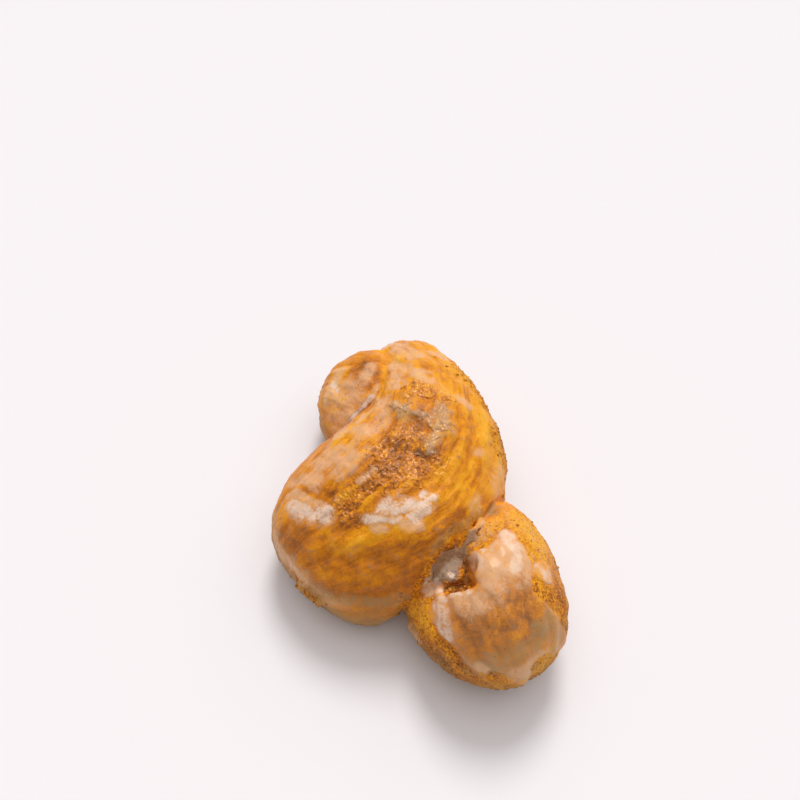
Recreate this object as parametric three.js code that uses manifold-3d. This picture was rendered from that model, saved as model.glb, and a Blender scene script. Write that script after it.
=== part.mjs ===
// A glazed cinnamon twist: one rope of sweet dough, folded in half and crossed over itself once, then
// baked on a flat sheet. Millimetres, +Z up. X runs along the twist, from its two loose ends (-X) to its
// loop (+X); the origin is under the middle of it, on the face it was baked on.
import * as THREE from "three";
import { ImprovedNoise } from "three/addons/math/ImprovedNoise.js";
import { mergeVertices } from "three/addons/utils/BufferGeometryUtils.js";
import Module from "manifold-3d";

const wasm = await Module();
wasm.setup();

// Driving dimensions of the baked twist
const CROSSOVER_TOP = 46; // the strand that climbs over the other one
const TAIL_TOP = 38; // its loose end, behind the tucked end
const TUCKED_TOP = 34; // the end that shows in the notch
const LOOP_TOP = 40;
const SQUASH = 0.7; // how far a lobe's widest level sits below the middle of a round one
const CRUST = 0xc9812f;

// Mesh density, round and along a strand
const SIDES = 40;
const RINGS = 52;

// Slow swelling of the dough, and the stretch marks that run along each strand
const SWELL = { amount: 1.0, size: 19 };
const STRETCH = { amount: 0.9, across: 3.4, along: 5 };
const BEND_REACH = 0.13; // share of a strand over which its bends are eased

// The valley that the crossing strand presses into the knob, and the bulge of dough and glaze in it
const VALLEY = { half: [8.5, 6.4, 9], turn: 2.6, at: [31, -4.8, LOOP_TOP - 6] };
const BULGE = { half: [6, 4.6, 6.5], turn: 2.6, at: [30.9, -6, LOOP_TOP - 15.5] };

// The eye: what is left open of the loop, a slit at the valley's foot
const EYE = { half: [5.4, 1.9, 8], turn: 1.03, at: [37.2, -7.4, LOOP_TOP - 8] };

const noise = new ImprovedNoise();
const upright = new THREE.Vector3(0, 0, 1);

// A lobe's height above and below its widest level, when it is `top` mm high and its base is cut flat
function lobeHeight(top) {
  const high = top / (1 + SQUASH);
  return { high, level: high * SQUASH };
}

// Where a point of the round ball lies once it is drawn out into a strand: how far along, which way round,
// and how much the strand's ends narrow it there
function placeOnStrand(unit, blunt) {
  const along = unit.y;
  const power = along < 0 ? blunt.start : blunt.end;
  const narrowing = Math.pow(Math.max(0, 1 - Math.pow(Math.abs(along), power)), 1 / power);
  return { t: THREE.MathUtils.clamp((along + 1) / 2, 0, 1), around: Math.atan2(unit.z, unit.x), narrowing };
}

// One stretch of rope. Each station is a place in plan, half the rope's width there and its top; the first
// and last stations are its tips. `blunt` is 2 for an egg's end and more for a flatter one. A dent presses
// the dough in round a place, or swells it where `deep` is below zero.
function strand({ stations, blunt, dents = [] }) {
  const middles = stations.map(({ at: [x, y], top }) => new THREE.Vector3(x, y, lobeHeight(top).level));
  const sizes = stations.map(({ wide, top }) => new THREE.Vector3(wide, lobeHeight(top).high, 0));
  const middle = new THREE.CatmullRomCurve3(middles);
  const size = new THREE.CatmullRomCurve3(sizes, false, "catmullrom", 0.4);
  const geometry = new THREE.SphereGeometry(1, SIDES, RINGS);
  const position = geometry.getAttribute("position");
  for (let i = 0; i < position.count; i++) {
    const unit = new THREE.Vector3().fromBufferAttribute(position, i);
    const { t, around, narrowing } = placeOnStrand(unit, blunt);
    const ahead = middle.getPoint(Math.min(1, t + BEND_REACH));
    const forward = ahead.sub(middle.getPoint(Math.max(0, t - BEND_REACH)));
    const side = new THREE.Vector3().crossVectors(forward, upright).normalize();
    const { x: wide, y: high } = size.getPoint(t);
    const outward = side.multiplyScalar(Math.cos(around) * wide);
    outward.addScaledVector(upright, Math.sin(around) * high);
    const point = middle.getPoint(t).addScaledVector(outward, narrowing);
    const { x, y, z } = point.clone().divideScalar(SWELL.size);
    let push = SWELL.amount * noise.noise(x + 3.1, y + 7.7, z + 1.3);
    const [turnX, turnY] = [Math.cos(around) * STRETCH.across, Math.sin(around) * STRETCH.across];
    push += STRETCH.amount * narrowing * noise.noise(turnX + 5.2, turnY + 9.4, t * STRETCH.along);
    for (const { at, across, deep } of dents) {
      const far = point.distanceTo(new THREE.Vector3(...at)) / across;
      push -= deep * Math.exp(-far * far);
    }
    point.addScaledVector(outward.normalize(), push * Math.sqrt(narrowing));
    position.setXYZ(i, point.x, point.y, point.z);
  }
  return geometry;
}

// A closed skin as a solid, and back
function solid(geometry) {
  geometry.deleteAttribute("normal");
  geometry.deleteAttribute("uv");
  const merged = mergeVertices(geometry, 1e-4);
  return new wasm.Manifold(
    new wasm.Mesh({
      numProp: 3,
      vertProperties: merged.getAttribute("position").array,
      triVerts: new Uint32Array(merged.index.array),
    }),
  );
}

function geometryOf(manifold) {
  const { vertProperties, triVerts } = manifold.getMesh();
  const geometry = new THREE.BufferGeometry();
  geometry.setAttribute("position", new THREE.BufferAttribute(vertProperties, 3));
  geometry.setIndex(new THREE.BufferAttribute(triVerts, 1));
  geometry.computeVertexNormals();
  return geometry;
}

// The strand that crosses over the top: from its loose tail at the far left round to its broad near end
function crossover() {
  return strand({
    stations: [
      { at: [-67, 29], wide: 17, top: TAIL_TOP - 2 },
      { at: [-51, 30], wide: 19, top: TAIL_TOP },
      { at: [-31, 25], wide: 22, top: TAIL_TOP + 5 },
      { at: [-12, 12], wide: 29.5, top: CROSSOVER_TOP },
      { at: [-1, -5], wide: 33.5, top: CROSSOVER_TOP },
      { at: [-1, -23], wide: 33, top: CROSSOVER_TOP - 4 },
      { at: [5, -43], wide: 30, top: CROSSOVER_TOP - 12 },
    ],
    blunt: { start: 2.6, end: 3.2 },
    dents: [
      { at: [3, -3, CROSSOVER_TOP], across: 9, deep: 1.8 },
      { at: [20, -33, 8], across: 11, deep: -5 },
    ],
  });
}

// The strand under it, whose end shows in the notch
function tuckedEnd() {
  return strand({
    stations: [
      { at: [20, 12], wide: 14, top: 26 },
      { at: [4, 18], wide: 16, top: 28 },
      { at: [-20, 18], wide: 20, top: 32 },
      { at: [-45, 13], wide: 25, top: TUCKED_TOP + 1 },
      { at: [-68, 20], wide: 23, top: TUCKED_TOP + 2 },
    ],
    blunt: { start: 2.4, end: 2.8 },
  });
}

// The folded end, pulled tight into a knob and pressed down along the strand that crosses it
function loop() {
  return strand({
    stations: [
      { at: [3, 8], wide: 25, top: LOOP_TOP - 2 },
      { at: [33.5, 3.5], wide: 25, top: LOOP_TOP - 2 },
      { at: [64, -1], wide: 25, top: LOOP_TOP - 2 },
    ],
    blunt: { start: 2, end: 2 },
    dents: [
      { at: [21, 12, 34], across: 7, deep: 4 },
      { at: [26, 2, 37], across: 7, deep: 6 },
      { at: [32, -8, 35], across: 7, deep: 4 },
      { at: [28, -16, 27], across: 9, deep: 7 },
    ],
  });
}

// A round lump or hollow: half its length, width and height, its turn about Z and its middle
function egg({ half, turn, at }) {
  const geometry = new THREE.SphereGeometry(1, 20, 14);
  geometry.scale(...half);
  geometry.rotateZ(turn);
  geometry.translate(...at);
  return geometry;
}

// The whole twist, baked together, flat below and brought over the origin
function twist() {
  const below = solid(new THREE.BoxGeometry(400, 400, 200).translate(0, 0, -100));
  const knob = solid(loop()).subtract(solid(egg(VALLEY))).add(solid(egg(BULGE)));
  const dough = [crossover(), tuckedEnd()].map(solid).reduce((whole, piece) => whole.add(piece), knob);
  const geometry = geometryOf(dough.subtract(below).subtract(solid(egg(EYE))));
  geometry.computeBoundingBox();
  const { x, y } = geometry.boundingBox.getCenter(new THREE.Vector3());
  geometry.translate(-x, -y, 0);
  const crust = new THREE.MeshStandardMaterial({ color: CRUST, roughness: 0.45, metalness: 0 });
  const mesh = new THREE.Mesh(geometry, crust);
  mesh.name = "twist";
  return mesh;
}

const model = new THREE.Group();
model.add(twist());

export default model;
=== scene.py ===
# A glazed cinnamon twist on a pale table. Metres, +Z up; places on the bread are given in millimetres.
import bmesh
import bpy
import math
import numpy as np
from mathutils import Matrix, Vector, kdtree, noise


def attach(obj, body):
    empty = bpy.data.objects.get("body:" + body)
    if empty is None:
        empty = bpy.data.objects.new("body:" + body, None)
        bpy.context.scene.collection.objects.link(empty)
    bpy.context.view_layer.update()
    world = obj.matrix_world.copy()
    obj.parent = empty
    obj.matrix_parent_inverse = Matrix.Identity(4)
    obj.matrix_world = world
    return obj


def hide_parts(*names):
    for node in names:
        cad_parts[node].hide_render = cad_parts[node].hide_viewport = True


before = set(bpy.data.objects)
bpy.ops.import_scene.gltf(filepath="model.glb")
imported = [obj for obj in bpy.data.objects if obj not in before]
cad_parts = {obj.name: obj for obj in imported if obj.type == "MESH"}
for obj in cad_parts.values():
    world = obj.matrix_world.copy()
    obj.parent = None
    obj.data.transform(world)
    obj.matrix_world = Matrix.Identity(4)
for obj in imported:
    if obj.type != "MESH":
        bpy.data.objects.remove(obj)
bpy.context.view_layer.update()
mm = 0.001


def pickOnly(piece):
    bpy.ops.object.select_all(action="DESELECT")
    piece.select_set(True)
    bpy.context.view_layer.objects.active = piece


def applyModifier(piece, kind, name, **settings):
    pickOnly(piece)
    modifier = piece.modifiers.new(name, kind)
    for setting, value in settings.items():
        setattr(modifier, setting, value)
    bpy.ops.object.modifier_apply(modifier=modifier.name)


def readVertices(piece, field="co"):
    values = np.empty(len(piece.data.vertices) * 3, np.float32)
    piece.data.vertices.foreach_get(field, values)
    return values.reshape(-1, 3).astype(float)


def ease(value, low, high):
    # 0 below low, 1 above high, rounded at both
    t = np.clip((value - low) / (high - low), 0, 1)
    return t * t * (3 - 2 * t)


def waver(points, size, seed=0):
    # slow noise between about -1 and 1, one value for each point
    return np.array([noise.noise(Vector(p) / size + Vector((seed, 0, 0))) for p in points]) * 2


# The rope's strands in mm: each one's body, as (middle x, y, half width, top), and the low line that its
# stretch marks run round

strands = {
    "crossover": {
        "body": [
            (-64, 28, 17, 36), (-48, 29, 19, 38), (-28, 24, 22, 43), (-9, 11, 29.5, 46), (2, -6, 33.5, 46),
            (2, -24, 33, 42), (8, -44, 30, 34),
        ],
        "marks": [
            (-95, 25), (-68, 29), (-48, 29), (-28, 24), (-9, 11), (2, -6), (3, -24),
            (1, -42), (-6, -64), (-20, -95),
        ],
        "blunt": 2.9,
        "streaky": 1.0,
    },
    "tuckedEnd": {
        "body": [(23, 11, 14, 26), (7, 17, 16, 28), (-17, 17, 20, 32), (-42, 12, 25, 35), (-65, 19, 23, 36)],
        "marks": [(23, 11), (7, 17), (-17, 17), (-40, 11), (-60, 2), (-85, -15)],
        "blunt": 2.6,
        "streaky": 0.4,
    },
    "loop": {
        "body": [(6, 7, 25, 38), (36, 3, 25, 38), (67, -2, 25, 38)],
        "marks": [(6, 7), (24, 5), (42, 2), (64, -2), (95, -8)],
        "blunt": 2.0,
        "streaky": 0.5,
    },
}
marksLevel = 4
bellyLevel = 0.41  # a strand is widest at this share of its height
strandStretch = 0.22  # the marks are this much finer across a strand than along it
strandGap = 100  # on the strand map, from one strand's marks to the next one's
roundStrand = 30  # on the strand map, for each radian round a strand


def smoothLine(corners, steps=7):
    # a curve through the corners, as a finer polyline
    corners = np.array(corners, float)
    padded = np.vstack([2 * corners[0] - corners[1], corners, 2 * corners[-1] - corners[-2]])
    points = []
    for before, start, end, after in zip(padded[:-3], padded[1:-2], padded[2:-1], padded[3:]):
        for t in np.arange(steps) / steps:
            points.append(
                start + 0.5 * t * (end - before + t * (2 * before - 5 * start + 4 * end - after
                + t * (3 * (start - end) + after - before)))
            )
    return np.array(points + [corners[-1]])


def onPolyline(points, line):
    # how far each point is from the line, how far along it that is, and the way it lies from it
    best = np.full(len(points), 1e9)
    along = np.zeros(len(points))
    away = np.zeros_like(points)
    heading = np.zeros_like(points)
    passed = 0.0
    for start, end in zip(line[:-1], line[1:]):
        step = end - start
        length = np.linalg.norm(step)
        share = np.clip((points - start) @ step / length**2, 0, 1)
        off = points - (start + share[:, None] * step)
        far = np.linalg.norm(off, axis=1)
        nearer = far < best
        best[nearer] = far[nearer]
        along[nearer] = passed + share[nearer] * length
        away[nearer] = off[nearer]
        heading[nearer] = step / length
        passed += length
    return best, along, away, heading


def insideStrand(points, strand):
    # below 1 inside a strand's body, above 1 outside it
    body = smoothLine(strand["body"])
    far, along, away, _ = onPolyline(points[:, :2], body[:, :2])
    steps = np.hypot(*np.diff(body[:, :2], axis=0).T)
    reached = np.concatenate([[0], np.cumsum(steps)])
    halfWidth = np.interp(along, reached, body[:, 2])
    top = np.interp(along, reached, body[:, 3])
    rise = (points[:, 2] - bellyLevel * top) / (top * (1 - bellyLevel))
    ring = np.hypot(far / halfWidth, rise)
    ends = np.abs(2 * along / reached[-1] - 1)
    return (ends ** strand["blunt"] + ring ** strand["blunt"]) ** (1 / strand["blunt"])


def strandPlaces(points):
    # for each strand, how far along it and round it each point is, in mm; and whose each point is
    places = []
    for strand in strands.values():
        marks = smoothLine([(x, y, marksLevel) for x, y in strand["marks"]])
        _, along, away, heading = onPolyline(points, marks)
        across = np.cross(heading, (0, 0, 1))
        angle = np.arctan2((away * across).sum(1), away[:, 2])
        places.append(
            np.stack([along * strandStretch + strandGap * len(places), angle * roundStrand], axis=1)
        )
    owner = np.argmin([insideStrand(points, strand) for strand in strands.values()], axis=0)
    return np.array(places), owner


# Where the crust's colours and the glaze lie: each brush stroke is (reach in mm, its points in mm). Gold is
# baked least and brown most, and some brown strokes are painted shade; rough and lump are the cinnamon sugar
# that melted on top; pale, milk and white are a film of glaze, thin to thick, with one white stroke a painted
# highlight; seam is glaze that ran into a hollow, and grey is glaze pooled in a hollow with painted shade
# over it; deep is painted shade in hollows, creases and the knob's slit; tan is dull crust and glaze, with
# painted shade on the low sides and along the crease

paint = {
    "gold": [
        (5.0, [(-44, 36, 34), (-35, 35, 36), (-24, 34, 39), (-15, 32, 40)]),
        (4.6, [(-10, 33, 39), (-2, 31, 38), (5, 30, 35)]),
        (3.4, [(12, 12, 42), (12, 18, 39), (11, 24, 36)]),
        (1.3, [(-44, 17, 34), (-34, 10.5, 36), (-24, 0, 39), (-20, -10, 39), (-18.6, -19, 37)]),
        (3.0, [(-56, 22, 29), (-46, 24, 35), (-38, 28, 39)]),
        (3.2, [(9, -32, 32), (13, -27, 34), (17, -20, 37), (20, -14, 38.3)]),
        (3.4, [(19, 8, 40), (23, 8, 37)]),
        (1.2, [(1.6, -23.2, 39.5), (4.2, -21.2, 40.2)]),
        (1.3, [(2.5, -13.4, 43.6)]),
        (2.4, [(-47, 25, 35), (-42, 20.5, 36), (-36, 19.4, 39)]),
        (2.6, [(-36, 19.4, 39), (-28.4, 19.9, 42.7), (-19, 20.8, 44.7)]),
        (3.0, [(9, 14, 43), (10.6, 10, 43.4), (12.8, 4, 43)]),
        (3.0, [(-22, 23, 43.4), (-17, 24, 43.8), (-12, 24, 43.6)]),
        (4.2, [(10, 27, 34), (13.7, 26.3, 30.8), (16.8, 21.6, 32.6), (20.9, 19.3, 30)]),
        (3.4, [(-12, 29, 42), (-6, 29, 40.4), (2, 26, 39.5), (8, 25, 37)]),
        (2.4, [(12.8, -22.8, 37), (16, -19.5, 37.8), (19, -15, 38)]),
        (2.3, [(8, -37, 29), (12, -32, 31.5), (16, -27, 32.8)]),
        (2.8, [(35, 17.4, 34), (29.5, 15, 33), (29, 11, 32.6), (30.4, 5, 32.4)]),
        (2.0, [(37.4, 0.4, 34.8), (39, -2, 35)]),
        (3.4, [(-54, 4, 29.6), (-51, -2.2, 27), (-47, -2, 28.4), (-42, -4, 28)]),
        (3.0, [(-48, -6, 24), (-51, -3, 26)]),
        (2.8, [(-41, -10, 20)]),
        (3.4, [(65.6, 0.8, 22), (66.5, 3.2, 19.4)]),
        (4.0, [(37, -21, 21)]),
        (5.0, [(31, 20, 32), (39, 20, 31), (46, 19, 30)]),
    ],
    "brownAndShade": [
        (1.8, [(7, -27, 37), (6, -23, 39)]),
        (3.0, [(3.6, -16, 42), (3, -10, 44), (2, -3, 45)]),
        (2.8, [(-4, -4, 45), (1, 0, 45), (8, 0, 44)]),
        (2.0, [(8, -28, 36), (11, -23, 38)]),
        (1.5, [(-11, -32, 33), (-2, -26, 39)]),
        (4.4, [(-3, -43, 25), (5, -39, 27.6), (10, -35.4, 29)]),
        (4.0, [(14, -40, 20), (19, -36, 22)]),
        (2.4, [(15, -33, 30), (20, -25.5, 31.6), (24, -19.5, 32.6)]),
        (3.2, [(26.5, -16.5, 31), (29, -14, 29), (30, -17.5, 24)]),
        # painted shade on the floor of the knob's valley
        (2.0, [(33.6, 0.4, 29), (36, -0.6, 28.5), (39, -2.2, 29.5)]),
        (1.6, [(24.5, -7, 37), (24.5, -2, 37), (23.5, 4, 37)]),
        (3.0, [(-10, 10, 46), (-3, 5, 46)]),
        (7.0, [(49, -11, 32), (55, -8, 31), (58, -6, 30)]),
        (4.0, [(57, 3, 32), (61, 6, 28)]),
        (4.0, [(43, -22, 16), (51, -20, 16), (57, -18, 14)]),
        (4.0, [(-49, 9.4, 32.6), (-46, 10, 33.4), (-40, 9, 34)]),
        (4.0, [(52, -15, 24), (57, -14, 23)]),
        # painted shade on the knob's far lower side
        (3.6, [(62, -4, 25), (60, 2, 28)]),
        (3.4, [(-50, 12, 34), (-44, 5, 33), (-40, 8, 34)]),
        # painted shade on the crossing strand's flank beside the glaze pool
        (2.8, [(25.5, -10, 35.5), (28.2, -7.8, 33.7), (30, -6.1, 31.3)]),
        (4.4, [(49, -15, 27), (55, -14, 26), (58, -12, 26)]),
        (3.6, [(48.6, -2, 36.3), (52, 1, 35.6)]),
        (2.0, [(48.5, 5.5, 36.3), (50, 7.5, 35.6)]),
        (3.0, [(57, -3, 32), (60, 0, 30.5)]),
        (3.0, [(47, 24, 22), (56, 18, 20), (61, 13, 20)]),
        (1.8, [(-11.4, 2.9, 44.8), (-8.7, 3.1, 45.5), (-6.3, 5, 45.8)]),
        (1.6, [(2.6, 1.8, 45.1), (5.4, 3.4, 45), (5.8, 8, 45.3)]),
        (2.4, [(-0.6, -18.5, 42), (-1.6, -14.5, 43.5), (-1.5, -9.3, 44.5)]),
        (1.6, [(5.2, -25.2, 37.9), (9, -24.4, 37.6)]),
        (3.2, [(22, -33, 22), (28.6, -25.6, 21.5), (30.5, -19.9, 21.9)]),
        # painted shade in the crease beside the glaze pool
        (1.8, [(29.6, -4.4, 31.4), (30.6, -1.6, 30)]),
        (3.0, [(47, 19.5, 30), (51.5, 18.8, 27.6), (57, 15, 26)]),
        # painted shade along the crease between the crossing strand and the knob
        (1.6, [(23.4, 16.4, 30), (24.6, 14.6, 30.6), (26, 12.6, 31)]),
        (1.0, [(25.7, 11, 31.5)]),
        (1.0, [(31.8, 2.7, 32.4)]),
        (2.0, [(17, -30.5, 29), (19.8, -27.9, 30.1), (22.5, -24.5, 30.6)]),
        (2.4, [(-2, -38, 30), (3, -36.4, 31)]),
        (1.4, [(-7.5, 4.6, 45.8), (-5.6, 5.8, 45.9)]),
        (1.8, [(5.6, -29.6, 35.4), (8.6, -29.8, 34.4)]),
        (2.6, [(2, -31, 35.2), (6, -29, 36), (10, -30.4, 33.6)]),
        (2.2, [(20, -22, 34), (22.6, -17.6, 34.8), (23.8, -14.2, 35.8)]),
        (3.2, [(49, 20.9, 26.5), (56, 16.5, 25)]),
        # painted shade in the crease beside the glaze pool
        (1.6, [(28.6, -1.6, 32.6), (29.6, -4.4, 31.4)]),
        (5.0, [(50, -17, 21), (57, -14, 22), (60.6, -10, 23)]),
        # painted shade in the crease
        (1.8, [(31.4, 4.4, 31.2), (32, 1.4, 30.2)]),
    ],
    "rough": [
        (6.4, [(-2, -6, 45), (-2, 0, 45), (0, 4, 46)]),
        (4.8, [(3.6, -10, 44), (7.6, -2, 44), (8, 4, 44)]),
        (4.0, [(5.6, -24, 38.6), (3.6, -20, 41), (3.4, -14, 43), (2, -9, 44)]),
        (3.4, [(-20, 15, 44.5), (-16, 18, 45), (-12, 20, 45)]),
        (2.0, [(-21, 18.4, 44.4), (-16, 19.4, 44.9), (-11, 18, 45.2)]),
    ],
    "milk": [
        (5.0, [(-15, -23, 37), (-9, -17, 41)]),
        (3.4, [(-16, -34, 30), (-10, -28, 36)]),
        (1.9, [
            (-14.1, -35.7, 29.4), (-11.9, -33.9, 32), (-7.2, -32.4, 34.1), (-2.9, -31, 35.3),
            (2.1, -29.4, 35.9),
        ]),
        (1.2, [(1, -18, 42), (1, -13, 44)]),
        (1.3, [(14.6, -20.4, 38), (16.6, -18.2, 38.2)]),
        (2.4, [(-24, 5, 41), (-16, -1, 43)]),
        (2.6, [(-14, -1, 43.6), (-13, -6.5, 43.2), (-16, -9, 42)]),
        (2.4, [(-35, 16, 38), (-26, 12, 42)]),
        (1.7, [(-10, 26, 43), (-7, 27, 42)]),
        (1.5, [(9, 19, 40), (9.5, 21, 39)]),
        (2.4, [(-59, 27, 27), (-52, 29, 33)]),
        (2.2, [(-40, 35, 35), (-36, 38, 35)]),
        (6.0, [(-35, -6, 26), (-40, 0, 31)]),
        (2.2, [(-27, -6, 34.5), (-24, -9.5, 36), (-20.6, -13.5, 37.8)]),
        (3.4, [(-45, 2, 31), (-41, 1, 32)]),
        (3.0, [(-50, -2, 27), (-47, -2, 28.4), (-42, -4, 28)]),
        (1.4, [(-36, 9, 34), (-34.6, 6, 33.4)]),
        (1.6, [(-29, 4, 38), (-24.6, -1, 39), (-21, -7, 39.4)]),
        (2.6, [(-52, 26, 33), (-45, 26.5, 36), (-38, 27, 39)]),
        (1.4, [(-54, 3, 28), (-53, -1.5, 26), (-50, -5, 25), (-47.5, -7, 23.5)]),
        (5.0, [(39, 1, 36), (44, 0, 37)]),
        (4.2, [(40, 9, 36), (46, 7, 37)]),
        (3.4, [(43.5, -10.3, 32.5), (46, -8.8, 33.5), (47, -6.8, 34.4)]),
        (1.4, [(58, -13, 23), (60, -12, 22)]),
        (1.6, [(63, -6, 22), (65, -3, 22)]),
        (3.0, [(-9, -37, 31), (-3, -35, 33), (0.6, -31.6, 34.8), (2.4, -30, 35.4)]),
        (2.2, [(13, -15.6, 41.6), (15.6, -10.8, 41.8), (18, -7, 41.4)]),
        (1.2, [
            (11.4, -21.6, 38.8), (13, -19.5, 39.2), (16, -16.3, 39.5), (19.2, -12.1, 39.4),
            (21.8, -9.7, 38.7),
        ]),
        (2.0, [(-43, 19, 35), (-36, 19, 39), (-28, 20, 43), (-22, 21, 44)]),
        (2.6, [(-52, -1, 27), (-54, 4, 29)]),
        (1.8, [(22, 13, 37), (24, 8, 37)]),
        (1.9, [(33.6, 2.2, 31.6), (34.8, 0.8, 31.2), (36, -0.8, 31)]),
        (2.0, [(37.4, 0.4, 34.8), (38.6, -1.6, 35.2)]),
        (2.2, [(-47, 12.4, 33.4), (-43, 8, 33.8)]),
        (1.8, [(33, -12.6, 24.4), (36, -12.4, 26.6)]),
        (1.9, [(34.9, -20.7, 10.3), (38.1, -21.3, 12.7), (41.4, -21.4, 14)]),
        (1.7, [(-16, -43.4, 23), (-8, -45.8, 20.6), (2.7, -44.6, 20.4), (9, -42.6, 18.6)]),
        (2.4, [(42, 12.5, 35.7), (45, 11, 35.6), (48.6, 8.6, 36)]),
        (2.2, [(64.6, -3, 22.5), (65, 2, 23)]),
        (1.2, [(28.2, 7.4, 31.9), (29, 5.8, 32)]),
    ],
    "white": [
        (2.1, [(-8.4, -36.4, 31), (-3, -35, 33), (0.6, -31.6, 34.8), (2.4, -30.2, 35.4)]),
        (2.3, [(12.4, -15.6, 41.8), (15.4, -10.4, 41.9), (18.4, -5.4, 41.4)]),
        (1.4, [(15.5, -4.6, 42.6), (17.5, -2, 41.9)]),
        (1.5, [(16, -13, 41), (20, -9, 40)]),
        (0.8, [(11.4, -21.5, 38.8), (14, -18.5, 39.4), (17, -15, 39.6)]),
        (1.2, [(-33.6, 6.4, 33.2), (-32.6, 1.8, 31.4), (-32.4, -1.2, 29.6), (-32.4, -4, 27.4)]),
        # a painted highlight on the glaze pooled in the knob's dip
        (0.9, [(34.8, -8, 30.4), (35.6, -7.4, 30.4)]),
        (1.8, [(31.7, -11.8, 26), (34, -12.4, 25.6), (37, -12.4, 26.6)]),
        (1.4, [(38.5, -12.5, 28), (41, -9.8, 32), (43, -7.3, 34)]),
        (3.0, [(39.5, -14.6, 27), (43, -15.4, 27.6), (47, -16.4, 26)]),
        (2.6, [(35, 11, 35.6), (39.5, 10.5, 36.2)]),
        (1.7, [(43, 9.6, 36.6), (45.6, 6, 37.2)]),
        (2.4, [(36.4, 2.2, 34.2), (38.6, 0, 35.6)]),
        (1.8, [(48, 13, 34), (51, 14, 32)]),
        (1.5, [(-52, -1.6, 27), (-48, -2, 28.4)]),
    ],
    # glaze pooled in the creases and the knob's dip, drawn dark grey: the glaze's own grey with painted shade
    # over it
    "greyGlazeAndShade": [
        (1.0, [(-33.4, 4.4, 32.5), (-33, 0, 30), (-32.8, -4, 27.3)]),
        (1.0, [(28, 5.4, 31.4), (28.8, 4, 31.2)]),
        (1.6, [(28.8, 4, 31.2), (30.5, 0.4, 29.5)]),
        (2.4, [(31, -2.4, 29), (32, -5.5, 30.2), (33, -8, 30.2), (33.6, -10.4, 28)]),
        (1.8, [(31.2, -9.8, 28.5), (31.7, -12, 26)]),
        (2.0, [(34.2, -6, 30.6), (35.8, -8, 29.6)]),
        (1.0, [(35.1, -5, 30.2)]),
        (0.9, [(35.6, -10.1, 29)]),
    ],
    # dull tan crust and glaze; on the low sides and along the crease it is painted shade as well
    "dullTanAndShade": [
        (3.6, [(59, 9, 28), (62, 3, 27.5)]),
        (3.6, [(56, -14, 22), (61.4, -8, 24), (61.4, -4, 26.6)]),
        (3.2, [(62, 11, 23), (64.3, 7.8, 22)]),
        (2.0, [(-13.5, 6, 45), (-10.5, 5, 45.6)]),
        (1.8, [(31.4, 4.4, 31.2), (32, 1.4, 30.2)]),
        (1.7, [(26.6, -9, 34.2), (26, -2, 35.6), (25.4, 4, 35), (24.4, 10, 33.4)]),
        (1.8, [(23.4, 16.4, 30), (24.6, 14.6, 30.6)]),
        (3.4, [(-16, -43, 22), (-8, -45.6, 20), (2.7, -44.4, 20.5), (9, -42.4, 18.6), (16, -40, 18)]),
        (2.3, [(18.3, -38.3, 19), (24, -32, 20), (28.6, -25.6, 20), (30.5, -19.9, 20.4)]),
        (2.0, [(56, -15, 22.5), (60.6, -11.6, 22.4)]),
        (1.8, [(62.6, -8, 22.5), (65.6, -4.4, 20.5), (65.8, -1.6, 20.8)]),
        (2.4, [
            (-8, -44.5, 16), (-3, -45.4, 15), (3, -44.6, 13), (9, -42.6, 12), (15, -40, 12),
            (21, -36.6, 12),
        ]),
        (3.0, [(24, -34.6, 10), (28, -31, 10), (30, -27, 9)]),
    ],
    "seam": [
        (1.4, [(26.6, 9, 31.6), (28.4, 4.6, 31.2)]),
        (1.9, [(28.4, 4.6, 31.2), (30.5, 0.4, 29.5), (31.5, -2.5, 28.3)]),
        (3.2, [(31.6, -3.2, 29.4), (32.6, -6, 30.2), (33.2, -8.4, 29.6)]),
        (1.4, [(-34.6, 7.6, 33.6), (-33.4, 4.4, 32.5), (-33, 0, 30), (-32.8, -4, 27.3)]),
    ],
    "flecked": [
        (4.5, [(-50, 10, 32), (-44, 9, 34), (-39, 6, 34)]),
        (3.0, [(-44, -1, 29), (-40, -5, 25)]),
        (7.0, [(48, -2, 37), (56, 0, 33), (50, -12, 31)]),
        (4.0, [(52, 12, 34), (58, 8, 32)]),
    ],
    # painted shade: dark colour drawn in the knob's valley and slit, along creases and in small hollows
    "deep": [
        (1.4, [(28.4, 5.4, 31.6), (29.6, 2, 30.8), (30.6, -1.4, 29.2)]),
        (1.5, [(34.6, -1.8, 27), (37, -3.2, 26.8), (38.6, -5, 26.5)]),
        (0.7, [(36.6, -10.6, 27), (38.2, -8.4, 26.6), (39.4, -5, 27)]),
        (1.0, [(30.2, -7.4, 31), (31, -9.2, 28.8), (31.7, -11, 26)]),
        (0.9, [(2.4, 1.6, 45.1), (4.9, 2, 45)]),
        (1.1, [(29.6, -3.8, 31.4), (30.4, -5.8, 31)]),
        (1.3, [(-23.5, -10.5, 32), (-19.5, -15, 33)]),
    ],
    "pale": [
        (6.0, [(33, 17, 32), (42, 21, 30), (50, 18, 29)]),
        (2.8, [(28, 14, 32.6), (31, 8, 33), (32, 13, 33)]),
        (3.0, [(-21, 21, 44.4), (-16, 22, 44.6)]),
        (3.0, [(13.7, 26.3, 30.8), (16.8, 21.6, 32.6), (20.9, 19.3, 30)]),
        (3.0, [(-8, -45.6, 18), (2.7, -44.6, 20), (9, -42.6, 18), (15.3, -40.6, 18.4), (22, -36.8, 17)]),
    ],
    "crumbly": [
        (1.5, [(36.6, -10.6, 26.6), (38.2, -8.4, 26), (39, -6, 26)]),
        (2.2, [(8, -44.6, 14.5), (12, -43, 14), (16, -41.4, 14.5)]),
        (2.2, [(34, -13, 24), (33.7, -11.4, 25.7), (37, -12, 27.5)]),
        (4.5, [(-6, -46, 3), (-14, -43, 3)]),
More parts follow.
